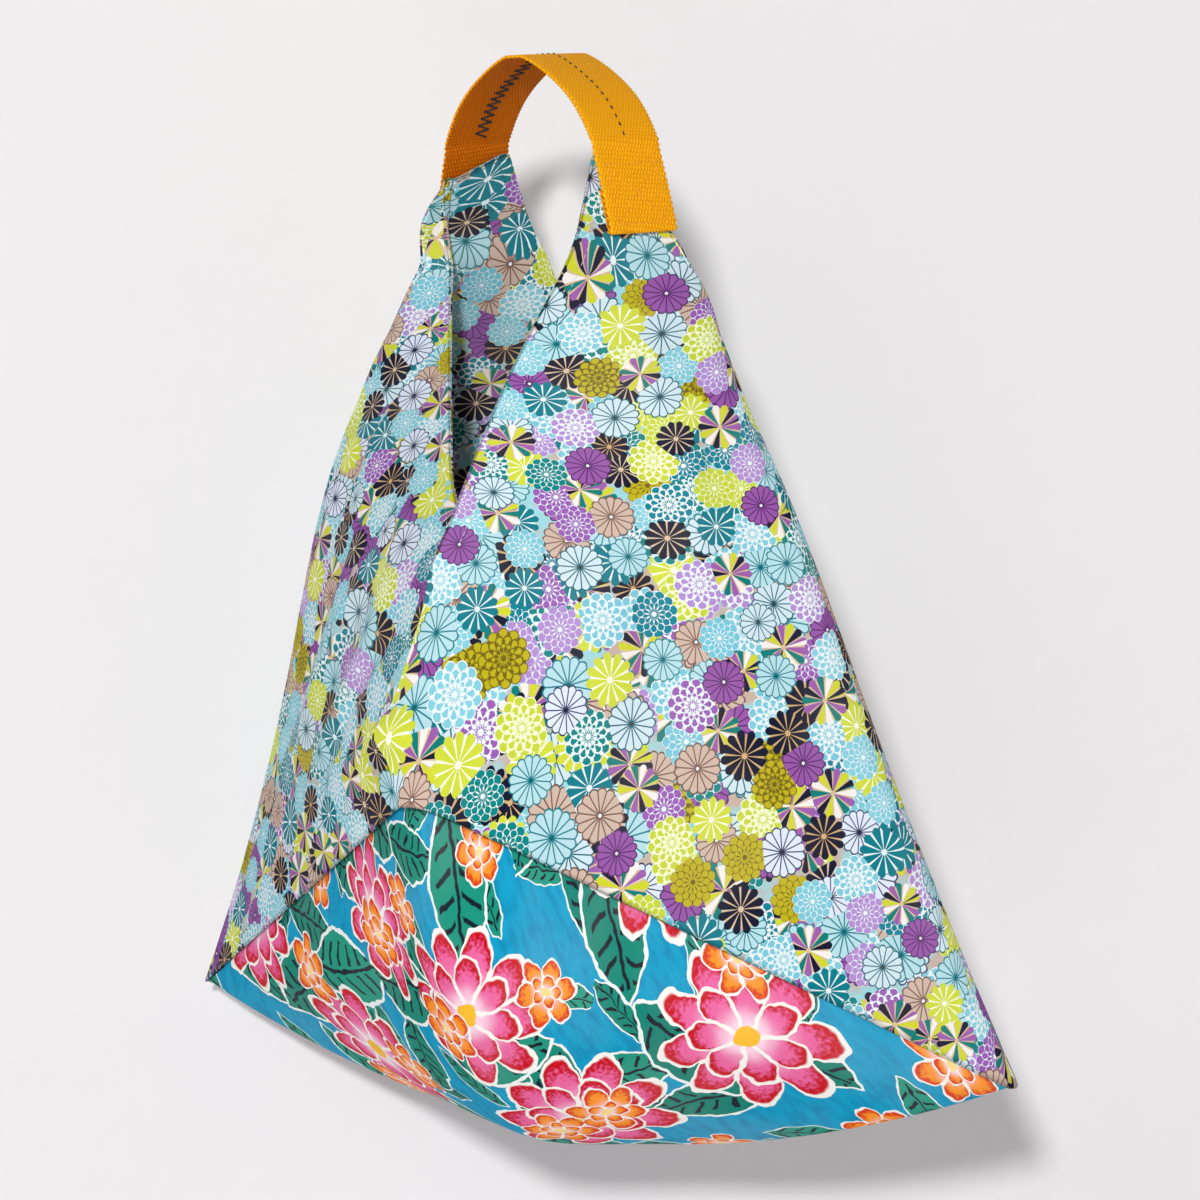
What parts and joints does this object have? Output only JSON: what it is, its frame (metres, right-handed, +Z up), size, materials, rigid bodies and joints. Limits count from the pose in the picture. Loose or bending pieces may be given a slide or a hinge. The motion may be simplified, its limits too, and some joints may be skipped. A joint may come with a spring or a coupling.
{
  "type": "bento bag",
  "caption": "Soft hanging lunch bag of print cloth panels crossed at a front and a back notch over a deep contrasting base, carried by a short webbing strap sewn to its tips.",
  "frame": {"origin": "middle of the underside of the strap's top, where a hook or a finger carries the bag", "axes": "+Z up along the hanging bag, +X towards the right panel's bottom corner, -Y towards the front with the base's front peak"},
  "size_m": [0.4826, 0.3145, 0.559],
  "materials": {
    "webbing": "woven matt webbing",
    "thread": "matt sewing thread",
    "print_cloth": "printed plain-weave cotton",
    "lining_cloth": "printed plain-weave cotton",
    "base_cloth": "printed plain-weave cotton"
  },
  "bodies": {
    "strap": {"strap_webbing": "webbing", "strap_stitch_right": "thread", "strap_stitch_left": "thread"},
    "bag": {"panel_right": "print_cloth", "panel_left": "print_cloth", "lining_right": "lining_cloth", "lining_left": "lining_cloth", "base_panel": "base_cloth", "lining_base": "lining_cloth"}
  },
  "joints": [
    {"name": "bag_swing", "type": "hinge", "parent": "strap", "child": "bag", "pos_m": [0, 0, -0.066], "axis": [0.8854, -0.4648, 0], "range_deg": [-60, 60]}
  ]
}
